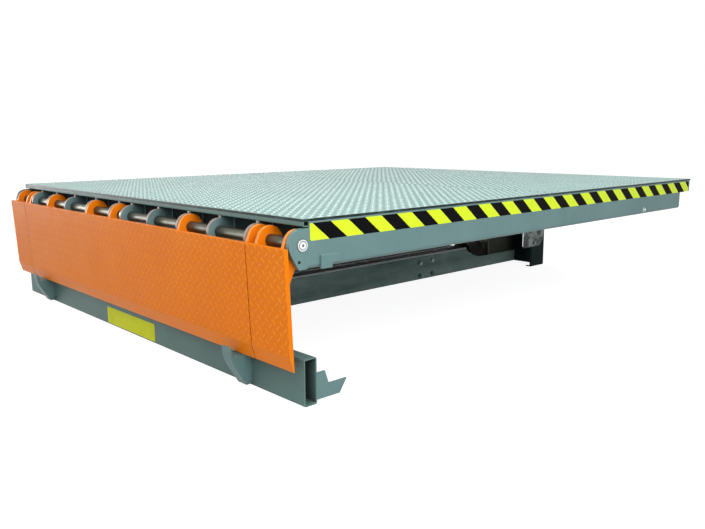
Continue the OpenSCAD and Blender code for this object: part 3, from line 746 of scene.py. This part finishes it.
@dataclass(frozen=True)
class TreadPattern:
    """Raised tears rolled into tread plate, in millimetres.

    Attributes:
        cell: Side of the square that repeats, with a tear at its corner and one in its middle.
        length: Length of a tear.
        width: Width of a tear.
        height: Height of a tear above the plate.
        sunk: Depth of its foot in the plate.
        crown: Size of its flat top as a share of its foot.
        margin: Plain rim of the plate.
        sides: Number of sides of a tear.
    """

    cell: float = 34.7
    length: float = 26.0
    width: float = 8.0
    height: float = 1.4
    sunk: float = 0.3
    crown: float = 0.45
    margin: float = 0.5
    sides: int = 8

    def _tear(self, bm: BMesh, x: float, y: float, turn: float) -> None:
        """Adds one tear.

        Args:
            bm: Mesh that takes it.
            x: Its place across the plate, in metres.
            y: Its place along the plate, in metres.
            turn: Its turn on the plate, in radians.
        """
        place = Matrix.Translation((x, y, -self.sunk * MM)) @ Matrix.Rotation(turn, 4, "Z")
        stretch = Matrix.Diagonal((self.width * MM, self.length * MM, MM, 1))
        ring = bmesh.ops.create_circle(
            bm, cap_ends=True, radius=UNIT, segments=self.sides, matrix=place @ stretch)
        foot = ring["verts"][0].link_faces[0]
        top = grown_verts(bmesh.ops.extrude_face_region(bm, geom=[foot]))
        bmesh.ops.translate(bm, vec=(0, 0, (self.height + self.sunk) * MM), verts=top)
        bmesh.ops.scale(
            bm, vec=(self.crown, self.crown, 1), verts=top, space=Matrix.Translation((-x, -y, 0)))

    def roll(self, place: Matrix, width: float, length: float) -> BMesh:
        """Covers a plate with tears that point at the sides of their neighbours, cut at the plate's edges.

        Args:
            place: Frame of the plate's middle, X along its width, Y along its length, Z out of it.
            width: Width of the plate, in metres.
            length: Length of the plate, in metres.

        Returns:
            The tears as one mesh.
        """
        bm = bmesh.new()
        cell = self.cell * MM
        self._tear(bm, 0.0, 0.0, math.pi / 4)
        self._tear(bm, cell / 2, cell / 2, -math.pi / 4)
        axes = (Vector((1, 0, 0)), Vector((0, 1, 0)))
        halves = [span / 2 - self.margin * MM for span in (width, length)]
        counts = [math.ceil(2 * half / cell) + 1 for half in halves]
        for axis, count in zip(axes, counts):
            bmesh.ops.spin(
                bm, geom=everything(bm), axis=(0, 0, 1), angle=0,
                dvec=axis * cell, steps=count - 1, use_duplicate=True)
        middle = Matrix.Translation([-(count - 0.5) * cell / 2 for count in counts] + [0])
        bmesh.ops.transform(bm, matrix=middle, verts=bm.verts[:])
        for axis, half in zip(axes, halves):
            for out in (axis, -axis):
                cut = bmesh.ops.bisect_plane(
                    bm, geom=everything(bm), dist=NEAR,
                    plane_co=out * half, plane_no=out, clear_outer=True)
                rim = [item for item in cut["geom_cut"] if isinstance(item, BMEdge)]
                bmesh.ops.holes_fill(bm, edges=rim)
        bmesh.ops.transform(bm, matrix=place, verts=bm.verts[:])
        return bm


def plate_face(node: str, facing: Vector) -> tuple[Matrix, float, float]:
    """Finds the flat face of a solid that looks a given way.

    Args:
        node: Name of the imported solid.
        facing: Direction that the face looks.

    Returns:
        Frame of the face's middle, with X across, Y up and Z out of it, and the face's width and height.
    """
    solid = bpy.data.objects[node]
    largest = max((p for p in solid.data.polygons if p.normal.dot(facing) > FACING), key=lambda p: p.area)
    faces = [p for p in solid.data.polygons if p.normal.dot(largest.normal) > SAME_FLAT]
    normal = largest.normal.copy()
    across = Vector((1, 0, 0))
    up = normal.cross(across).normalized()
    points = [solid.data.vertices[i].co for p in faces for i in p.vertices]
    xs = [p.dot(across) for p in points]
    ys = [p.dot(up) for p in points]
    out = points[0].dot(normal)
    middle = across * (min(xs) + max(xs)) / 2 + up * (min(ys) + max(ys)) / 2 + normal * out
    frame = Matrix((across, up, normal)).transposed().to_4x4()
    return Matrix.Translation(middle) @ frame, max(xs) - min(xs), max(ys) - min(ys)


def slab_spans(node: str) -> list[tuple[float, float]]:
    """The stretches of X that the upright plates of a node fill.

    Args:
        node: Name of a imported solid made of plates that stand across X.

    Returns:
        The lowest and the highest X of each plate, in metres.
    """
    solid = bpy.data.objects[node]
    places = sorted({round(v.co.x, DECIMALS) for v in solid.data.vertices})
    return list(zip(places[0::2], places[1::2]))


def side_face(node: str, side: Side, inwards: bool = False) -> float:
    """The outermost or innermost X of the node on a side, in metres.

    Args:
        node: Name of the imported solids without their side.
        side: Side of the leveler.
        inwards: Whether the face that looks inwards is meant.

    Returns:
        The place of the face.
    """
    low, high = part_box(f"{node}_{side.word}")
    return low.x if inwards == (side is Side.RIGHT) else high.x


@dataclass
class Platform:
    """The hinged platform: tread, seam, warning tape, welds and shaft ends, in millimetres.

    Attributes:
        tread: Pattern of the tread plate.
        seam: Flush weld across the middle of the tread plate.
        weld: Fillet welds of the hinge parts.
        seam_gap: Plain strip beside the seam.
        seam_end: Bare plate at both ends of the seam.
        seam_flat: Height of the seam as a share of a round bead's.
        tape_top: Top of the warning tape below the tread plate.
        tape_h: Height of the warning tape.
        tape_t: Thickness of the warning tape.
        tape_ends: Bare side beam before and behind the tape.
        stripe: Width of a stripe along the tape.
        stripe_lean: How far a stripe runs to the rear from its top to its foot.
        first_black: Top front corner of the first black stripe, from the platform's front.
        end_steps: Diameter and height of each turned step on the shaft's ends.
        end_chamfer: Chamfer of those steps.
        end_sides: Number of sides of those steps.
        side_bolt: Place of the bolt in a side beam along Y and Z.
        bolt: That bolt.
        twin_gap: Gap between a lip lug and the lug of the platform close beside it.
        lug_weld_foot: Lower end of a lug's weld above the lug's foot.
        cheek_weld_foot: Lower end of a cheek's weld above the cheek's foot.
        stop_weld_end: Bare ends of a side stop beside its weld.
    """

    tread: TreadPattern = TreadPattern()
    seam: WeldBead = WeldBead(radius=5.0, step=6.0, ripple=0.08)
    weld: WeldBead = WeldBead()
    seam_gap: float = 14.0
    seam_end: float = 2.0
    seam_flat: float = 0.16
    tape_top: float = 5.0
    tape_h: float = 50.0
    tape_t: float = 0.4
    tape_ends: tuple[float, float] = (4.0, 12.0)
    stripe: float = 68.2
    stripe_lean: float = 62.5
    first_black: float = 33.3
    end_steps: tuple[tuple[float, float], ...] = ((34.0, 0.9), (27.0, 0.3), (22.0, 0.6), (8.0, 0.3))
    end_chamfer: float = 0.2
    end_sides: int = 32
    side_bolt: tuple[float, float] = (2049.0, 423.0)
    bolt: HexBolt = HexBolt(across=15.0, head=6.0, washer=20.0, washer_t=1.6, tip=8.0)
    twin_gap: float = 5.0
    lug_weld_foot: float = 4.0
    cheek_weld_foot: float = 45.0
    stop_weld_end: float = 2.0

    def build(self) -> None:
        """Makes all pieces of the platform."""
        self.lay_tread()
        self.lay_seam()
        for side in Side:
            self.lay_tape(side)
        self.twin_lugs()
        self.lay_welds()
        self.dress_shaft_ends()
        self.set_side_bolts()

    def lay_tread(self) -> None:
        """Covers both sheets of the tread plate with tears."""
        low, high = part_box("deck_plate")
        half = (high.y - low.y) / 2
        gap = self.seam_gap * MM
        for word, start in (("front", low.y), ("rear", low.y + half)):
            middle = Vector((0, start + half / 2, high.z))
            bm = self.tread.roll(Matrix.Translation(middle), high.x - low.x, half - gap)
            finish_piece(bm, f"deck_tread_{word}", [TEAR_PAINT], Body.PLATFORM)

    def lay_seam(self) -> None:
        """Lays the flattened weld between the two sheets."""
        low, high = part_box("deck_plate")
        middle = (low.y + high.y) / 2
        bm = bmesh.new()
        end = self.seam_end * MM
        self.seam.lay(bm, Vector((low.x + end, middle, 0)), Vector((high.x - end, middle, 0)))
        flat = Matrix.Translation((0, 0, high.z)) @ Matrix.Diagonal((1, 1, self.seam_flat, 1))
        bmesh.ops.transform(bm, matrix=flat, verts=bm.verts[:])
        finish_piece(bm, "deck_seam_weld", [DECK_PAINT], Body.PLATFORM)

    def lay_tape(self, side: Side) -> None:
        """Lays the striped warning tape on a side beam.

        Args:
            side: Side of the platform.
        """
        low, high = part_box(f"side_beam_{side.word}")
        face = side_face("side_beam", side)
        front = low.y + self.tape_ends[0] * MM
        rear = high.y - self.tape_ends[1] * MM
        top = high.z - self.tape_top * MM
        height = self.tape_h * MM
        bm = bmesh.new()
        bmesh.ops.create_grid(bm, x_segments=1, y_segments=1, size=UNIT)
        bmesh.ops.scale(bm, vec=(rear - front, height, 1), verts=bm.verts[:])
        stand = Matrix(((0, 0, side.value), (side.value, 0, 0), (0, 1, 0))).to_4x4()
        stand.translation = Vector((face, (front + rear) / 2, top - height / 2))
        bmesh.ops.transform(bm, matrix=stand, verts=bm.verts[:])
        across = Vector((0, height, self.stripe_lean * MM))
        edge = self.first_black * MM - self.stripe * MM
        while edge < rear:
            bmesh.ops.bisect_plane(
                bm, geom=everything(bm), dist=NEAR,
                plane_co=Vector((face, edge, top)), plane_no=across)
            edge += self.stripe * MM
        lean = self.stripe_lean * MM / height
        for stripe in bm.faces:
            middle = stripe.calc_center_median()
            at_top = middle.y - (top - middle.z) * lean
            count = math.floor((at_top / MM - self.first_black) / self.stripe)
            stripe.material_index = count % 2
        skin = grown_verts(bmesh.ops.extrude_face_region(bm, geom=bm.faces[:]))
        bmesh.ops.translate(bm, vec=side.out * self.tape_t * MM, verts=skin)
        finish_piece(bm, f"warning_tape_{side.word}", [TAPE_BLACK, TAPE_YELLOW], Body.PLATFORM)

    def twin_spans(self) -> list[tuple[float, float]]:
        """Works out where the lugs stand that are close beside the lip's lugs.

        Returns:
            The lowest and the highest X of each lug, in metres.
        """
        beside = [left - self.twin_gap * MM for left, _ in slab_spans("lip_lugs")[1:]]
        left, right = slab_spans("deck_hinge_lugs")[0]
        return [(x - (right - left), x) for x in beside]

    def twin_lugs(self) -> None:
        """Sets a lug of the platform close beside each of the lip's lugs but the first."""
        solid = bpy.data.objects["deck_hinge_lugs"]
        left, right = slab_spans("deck_hinge_lugs")[0]
        bm = bmesh.new()
        bm.from_mesh(solid.data)
        others = [v for v in bm.verts if v.co.x > right + MM]
        bmesh.ops.delete(bm, geom=others, context="VERTS")
        bmesh.ops.remove_doubles(bm, verts=bm.verts[:], dist=NEAR)
        first = everything(bm)
        for twin_left, _ in self.twin_spans():
            made = bmesh.ops.duplicate(bm, geom=first)
            bmesh.ops.translate(bm, vec=(twin_left - left, 0, 0), verts=grown_verts(made))
        bmesh.ops.delete(bm, geom=[item for item in first if isinstance(item, BMVert)], context="VERTS")
        finish_piece(bm, "twin_hinge_lugs", [LUG_PAINT], Body.PLATFORM)

    def lay_welds(self) -> None:
        """Lays the welds of the front lugs, the end cheeks and the side stops."""
        bm = bmesh.new()
        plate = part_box("front_cross_plate")[0].y
        low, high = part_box("deck_hinge_lugs")
        for span in slab_spans("deck_hinge_lugs") + self.twin_spans():
            for x in span:
                self.weld.rise(bm, x, plate, low.z + self.lug_weld_foot * MM, high.z)
        for side in Side:
            low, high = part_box(f"hinge_cheek_{side.word}")
            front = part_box(f"side_beam_{side.word}")[0].y
            foot = low.z + self.cheek_weld_foot * MM
            self.weld.rise(bm, side_face("hinge_cheek", side, inwards=True), front, foot, high.z)
            low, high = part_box(f"side_stop_{side.word}")
            x = side_face("side_stop", side, inwards=True)
            end = self.stop_weld_end * MM
            self.weld.lay(bm, Vector((x, low.y + end, high.z)), Vector((x, high.y - end, high.z)))
        finish_piece(bm, "platform_welds", [FRAME_PAINT], Body.PLATFORM)

    def dress_shaft_ends(self) -> None:
        """Adds the turned face with its centre mark to both ends of the hinge shaft."""
        low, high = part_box("hinge_shaft")
        axis_y = (low.y + high.y) / 2
        axis_z = (low.z + high.z) / 2
        bm = bmesh.new()
        for side in Side:
            face = high.x if side is Side.RIGHT else low.x
            foot = upright(Vector((face, axis_y, axis_z)), side.out)
            for count, (diameter, height) in enumerate(self.end_steps):
                before = set(bm.faces)
                add_disc(bm, foot, self.end_sides, diameter * MM, height * MM, self.end_chamfer * MM)
                for step in set(bm.faces) - before:
                    step.material_index = count % 2
                foot = foot @ Matrix.Translation((0, 0, height * MM))
        finish_piece(bm, "shaft_end_faces", [SHAFT_END, SHAFT_ZINC], Body.PLATFORM)

    def set_side_bolts(self) -> None:
        """Sets the bolt near the rear end of both side beams."""
        bm = bmesh.new()
        for side in Side:
            y, z = self.side_bolt
            seat = Vector((side_face("side_beam", side), y * MM, z * MM))
            self.bolt.set(bm, seat, side.out)
        finish_piece(bm, "side_beam_bolts", [BOLT_ZINC], Body.PLATFORM)


@dataclass
class Lip:
    """The swinging lip: tread on its plates and welds of its lugs, in millimetres.

    Attributes:
        tread: Pattern of the lip's tread plate.
        weld: Fillet welds of the lugs.
        lug_reach: Length of a lug's weld on the plate's back.
    """

    tread: TreadPattern = TreadPattern(height=1.3)
    weld: WeldBead = WeldBead()
    lug_reach: float = 120.0

    def build(self) -> None:
        """Makes all pieces of the lip."""
        for node in ("lip_plate", "lip_flap_left", "lip_flap_right"):
            place, width, height = plate_face(node, Vector((0, -1, 0)))
            bm = self.tread.roll(place, width, height)
            finish_piece(bm, f"{node}_tread", [LIP_TEAR_PAINT], Body.LIP)
        self.lay_welds()

    def lay_welds(self) -> None:
        """Lays the welds between the lugs and the backs of the plates."""
        bm = bmesh.new()
        place, _, height = plate_face("lip_plate", Vector((0, 1, 0)))
        top = place @ Vector((0, -height / 2, 0))
        down = (place.to_3x3() @ Vector((0, 1, 0))).normalized() * self.lug_reach * MM
        for node in ("lip_lugs", "flap_lugs_left", "flap_lugs_right"):
            for span in slab_spans(node):
                for x in span:
                    start = Vector((x, top.y, top.z))
                    self.weld.lay(bm, start, start + down)
        finish_piece(bm, "lip_welds", [LIP_PAINT], Body.LIP)


@dataclass
class GroundFrame:
    """The ground frame: label plate, bolts and welds, in millimetres.

    Attributes:
        weld: Fillet welds of the frame.
        bolt: Bolts through the spine and the post plates.
        label_x: Left and right edge of the label plate.
        label_z: Lower and upper edge of the label plate.
        label_t: Thickness of the label plate.
        label_corner: Corner radius of the label plate.
        label_steps: Number of faces round such a corner.
        ring: Diameter and thickness of the wide ring under one bolt of the spine.
        ring_chamfer: Chamfer of that ring.
        ring_sides: Number of sides of that ring.
        ring_bolt: Place of that bolt along Y and Z.
        spine_bolts: Places of the spine's bright bolts along Y and Z.
        painted_bolts: Places of the spine's painted bolts along Y and Z.
        post_bolts: Places of the post plates' bolts along Y and Z.
        keeper_weld: Lower end of a keeper's weld above its foot, and height of its upper end.
        anchor_weld_end: Bare ends of an anchor plate beside its weld.
        spine_weld: Lower end of the spine's weld, and its upper end below the spine's top.
    """

    weld: WeldBead = WeldBead()
    bolt: HexBolt = HexBolt()
    label_x: tuple[float, float] = (-203.0, 207.0)
    label_z: tuple[float, float] = (7.0, 76.0)
    label_t: float = 0.8
    label_corner: float = 4.0
    label_steps: int = 5
    ring: tuple[float, float] = (36.0, 3.0)
    ring_chamfer: float = 0.8
    ring_sides: int = 24
    ring_bolt: tuple[float, float] = (1619, 92)
    spine_bolts: tuple[tuple[float, float], ...] = ((1717, 97),)
    painted_bolts: tuple[tuple[float, float], ...] = ((1619, 24), (1719, 25))
    post_bolts: tuple[tuple[float, float], ...] = ((2400, 141), (2480, 231))
    keeper_weld: tuple[float, float] = (3.0, 104.0)
    anchor_weld_end: float = 10.0
    spine_weld: tuple[float, float] = (6.0, 4.0)

    def build(self) -> None:
        """Makes all pieces of the ground frame."""
        self.fix_label()
        self.set_bolts()
        self.lay_welds()

    def fix_label(self) -> None:
        """Fixes the bare label plate to the front beam."""
        low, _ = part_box("front_beam")
        width = (self.label_x[1] - self.label_x[0]) * MM
        height = (self.label_z[1] - self.label_z[0]) * MM
        middle = Vector((sum(self.label_x) / 2 * MM, low.y, sum(self.label_z) / 2 * MM))
        bm = bmesh.new()
        bmesh.ops.create_grid(bm, x_segments=1, y_segments=1, size=UNIT)
        bmesh.ops.scale(bm, vec=(width, height, 1), verts=bm.verts[:])
        bmesh.ops.bevel(
            bm, geom=bm.verts[:], offset=self.label_corner * MM, offset_type="OFFSET", affect="VERTICES",
            segments=self.label_steps, profile=0.5, material=-1)
        top = grown_verts(bmesh.ops.extrude_face_region(bm, geom=bm.faces[:]))
        bmesh.ops.translate(bm, vec=(0, 0, self.label_t * MM), verts=top)
        stand = Matrix.Translation(middle) @ Matrix.Rotation(math.pi / 2, 4, "X")
        bmesh.ops.transform(bm, matrix=stand, verts=bm.verts[:])
        finish_piece(bm, "label_plate", [LABEL_YELLOW], Body.BASE)

    def set_bolts(self) -> None:
        """Sets the bolts of the spine and of the post plates, on both sides."""
        bright = bmesh.new()
        painted = bmesh.new()
        rows = (
            (bright, "spine_channel", self.spine_bolts),
            (bright, "post_plate", self.post_bolts),
            (painted, "spine_channel", self.painted_bolts),
        )
        diameter, thick = self.ring
        for side in Side:
            out = side.out
            for bm, node, places in rows:
                face = side_face(node, side)
                for y, z in places:
                    self.bolt.set(bm, Vector((face, y * MM, z * MM)), out)
            y, z = self.ring_bolt
            seat = Vector((side_face("spine_channel", side), y * MM, z * MM))
            add_disc(
                painted, upright(seat, out), self.ring_sides, diameter * MM, thick * MM,
                self.ring_chamfer * MM)
            self.bolt.set(bright, seat + out * thick * MM, out)
        finish_piece(bright, "frame_bolts", [GROUND_BOLT], Body.BASE)
        finish_piece(painted, "spine_bolts", [BEAM_PAINT], Body.BASE)

    def lay_welds(self) -> None:
        """Lays the welds of the keepers, the anchors and the spine."""
        bm = bmesh.new()
        beam_low, beam_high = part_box("front_beam")
        for side in Side:
            low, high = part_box(f"lip_keeper_{side.word}")
            foot, top = self.keeper_weld
            for x in (low.x, high.x):
                self.weld.rise(bm, x, beam_low.y, low.z + foot * MM, top * MM)
            x = side_face("front_anchor", side, inwards=True)
            end = self.anchor_weld_end * MM
            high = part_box(f"front_anchor_{side.word}")[1]
            self.weld.rise(bm, x, beam_high.y, end, high.z - end)
            x = side_face("spine_channel", side)
            foot, gap = self.spine_weld
            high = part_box(f"spine_channel_{side.word}")[1]
            self.weld.rise(bm, x, beam_high.y, foot * MM, high.z - gap * MM)
        finish_piece(bm, "frame_welds", [BEAM_PAINT], Body.BASE)


@dataclass(frozen=True)
class Lamp:
    """A round soft lamp.

    Attributes:
        name: Name of the lamp.
        towards: Direction from the object to the lamp.
        strength: Light that it gives on a face turned to it.
        softness: Angle that the lamp fills, in degrees.
        distance: Distance from the object, in metres.
    """

    name: str
    towards: tuple[float, float, float]
    strength: float
    softness: float
    distance: float

    def hang(self, aim: Vector) -> None:
        """Adds the lamp to the scene.

        Args:
            aim: Point that the lamp looks at.
        """
        half = math.radians(self.softness / 2)
        out = Vector(self.towards).normalized()
        data = bpy.data.lights.new(self.name, "AREA")
        data.shape = "DISK"
        data.size = 2 * self.distance * math.tan(half)
        data.energy = self.strength * math.pi * (self.distance / math.cos(half)) ** 2
        lamp = bpy.data.objects.new(self.name, data)
        lamp.location = aim + out * self.distance
        lamp.rotation_euler = out.to_track_quat("Z", "Y").to_euler()
        lamp.visible_camera = False
        bpy.context.scene.collection.objects.link(lamp)


@dataclass
class Studio:
    """Floor, light and camera round the leveler.

    Attributes:
        key: Main lamp, from the right.
        fill: Weaker lamp, from the front.
        side: Low weak lamp from the left, for the sheen on the lip's far end.
        back: Lamp from behind, for the highlights on the tread.
        aim: Point of the leveler that the lamps look at, in metres.
        sky: Level of the light from all round.
        floor_half: Half the width of the floor, in metres.
        floor_drop: Drop of the floor below the ground frame, in millimetres.
        floor_shade: Colour of the floor where it takes shadows.
        floor_bounce: Grey of the floor as the object sees it.
        floor_white: Level of the floor's own white.
        shadow_share: Share of the floor's look that takes shadows.
        camera_at: Place of the camera, in metres.
        yaw: Turn of the camera to the left, in radians.
        pitch: Tilt of the camera downwards, in radians.
        roll: Roll of the camera, in radians.
        lens: Focal length, in millimetres.
        sensor: Width of the camera's sensor, in millimetres.
    """

    key: Lamp = Lamp("key_lamp", (0.72, -0.28, 0.63), 2.8, 70.0, 4.0)
    fill: Lamp = Lamp("fill_lamp", (-0.15, -0.85, 0.5), 0.25, 60.0, 12.0)
    side: Lamp = Lamp("side_lamp", (-0.94, -0.32, 0.08), 1.7, 25.0, 12.0)
    back: Lamp = Lamp("back_lamp", (-0.62, 0.42, 0.62), 0.4, 40.0, 12.0)
    aim: tuple[float, float, float] = (0.3, 0.6, 0.3)
    sky: float = 0.26
    floor_half: float = 40.0
    floor_drop: float = 0.5
    floor_shade: str = "#F2F2F2"
    floor_bounce: str = "#B4B4B4"
    floor_white: float = 1.52
    shadow_share: float = 0.4
    camera_at: tuple[float, float, float] = (2.6380, -1.2342, 0.7707)
    yaw: float = 0.8256
    pitch: float = 0.1776
    roll: float = -0.0056
    lens: float = 36.57
    sensor: float = 36.0

    def build(self) -> None:
        """Sets up the whole studio."""
        self.lay_floor()
        self.light_sky()
        for lamp in (self.key, self.fill, self.side, self.back):
            lamp.hang(Vector(self.aim))
        self.place_camera()
        bpy.context.scene.view_settings.view_transform = "Standard"

    @staticmethod
    def seen(tree: NodeTree) -> NodeSocket:
        """Tells what the camera or a mirror image sees from light that falls on the object.

        Args:
            tree: Node tree that takes the nodes.

        Returns:
            A socket that is one for what is seen and zero for other light.
        """
        path = add_node(tree, "ShaderNodeLightPath")
        either = add_node(tree, "ShaderNodeMath", {
            0: path.outputs["Is Camera Ray"], 1: path.outputs["Is Glossy Ray"]}, operation="MAXIMUM")
        whole = add_node(tree, "ShaderNodeMath", {
            0: either.outputs["Value"], 1: path.outputs["Is Transmission Ray"]}, operation="MAXIMUM")
        return whole.outputs["Value"]

    def lay_floor(self) -> None:
        """Lays a pale floor that shows white and keeps the shadow."""
        material = bpy.data.materials.new("studio_floor")
        tree = empty_tree(material)
        bounce = add_node(tree, "ShaderNodeBsdfDiffuse", {"Color": linear(self.floor_bounce)})
        shaded = add_node(tree, "ShaderNodeBsdfDiffuse", {"Color": linear(self.floor_shade)})
        white = add_node(tree, "ShaderNodeEmission", {"Strength": self.floor_white})
        pale = add_node(tree, "ShaderNodeMixShader", {
            0: self.shadow_share, 1: white.outputs["Emission"], 2: shaded.outputs["BSDF"]})
        whole = add_node(tree, "ShaderNodeMixShader", {
            0: self.seen(tree), 1: bounce.outputs["BSDF"], 2: pale.outputs["Shader"]})
        add_node(tree, "ShaderNodeOutputMaterial", {"Surface": whole.outputs["Shader"]})
        bm = bmesh.new()
        bmesh.ops.create_grid(bm, x_segments=1, y_segments=1, size=self.floor_half)
        bmesh.ops.translate(bm, vec=(0, 0, -self.floor_drop * MM), verts=bm.verts[:])
        mesh = bpy.data.meshes.new("studio_floor")
        bm.to_mesh(mesh)
        bm.free()
        mesh.materials.append(material)
        floor = bpy.data.objects.new("studio_floor", mesh)
        bpy.context.scene.collection.objects.link(floor)

    def light_sky(self) -> None:
        """Gives plain light from all round, seen as white."""
        world = bpy.data.worlds.new("studio_sky")
        tree = empty_tree(world)
        white = linear("#FFFFFF")
        level = add_node(tree, "ShaderNodeBackground", {"Color": white, "Strength": self.sky})
        shown = add_node(tree, "ShaderNodeBackground", {"Color": white, "Strength": 1.0})
        whole = add_node(tree, "ShaderNodeMixShader", {
            0: self.seen(tree), 1: level.outputs["Background"], 2: shown.outputs["Background"]})
        add_node(tree, "ShaderNodeOutputWorld", {"Surface": whole.outputs["Shader"]})
        bpy.context.scene.world = world

    def place_camera(self) -> None:
        """Places the camera at the photograph's angle."""
        data = bpy.data.cameras.new("camera")
        data.lens = self.lens
        data.sensor_width = self.sensor
        camera = bpy.data.objects.new("camera", data)
        turn = (
            Matrix.Rotation(self.yaw, 4, "Z")
            @ Matrix.Rotation(math.pi / 2 - self.pitch, 4, "X")
            @ Matrix.Rotation(self.roll, 4, "Z"))
        camera.matrix_world = Matrix.Translation(self.camera_at) @ turn
        bpy.context.scene.collection.objects.link(camera)
        bpy.context.scene.camera = camera


def main() -> None:
    """Builds the looks in order."""
    logging.basicConfig(level=logging.INFO, format="%(message)s")
    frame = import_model()
    dress_solids(frame)
    Platform().build()
    Lip().build()
    GroundFrame().build()
    Studio().build()


if __name__ == "__main__":
    main()
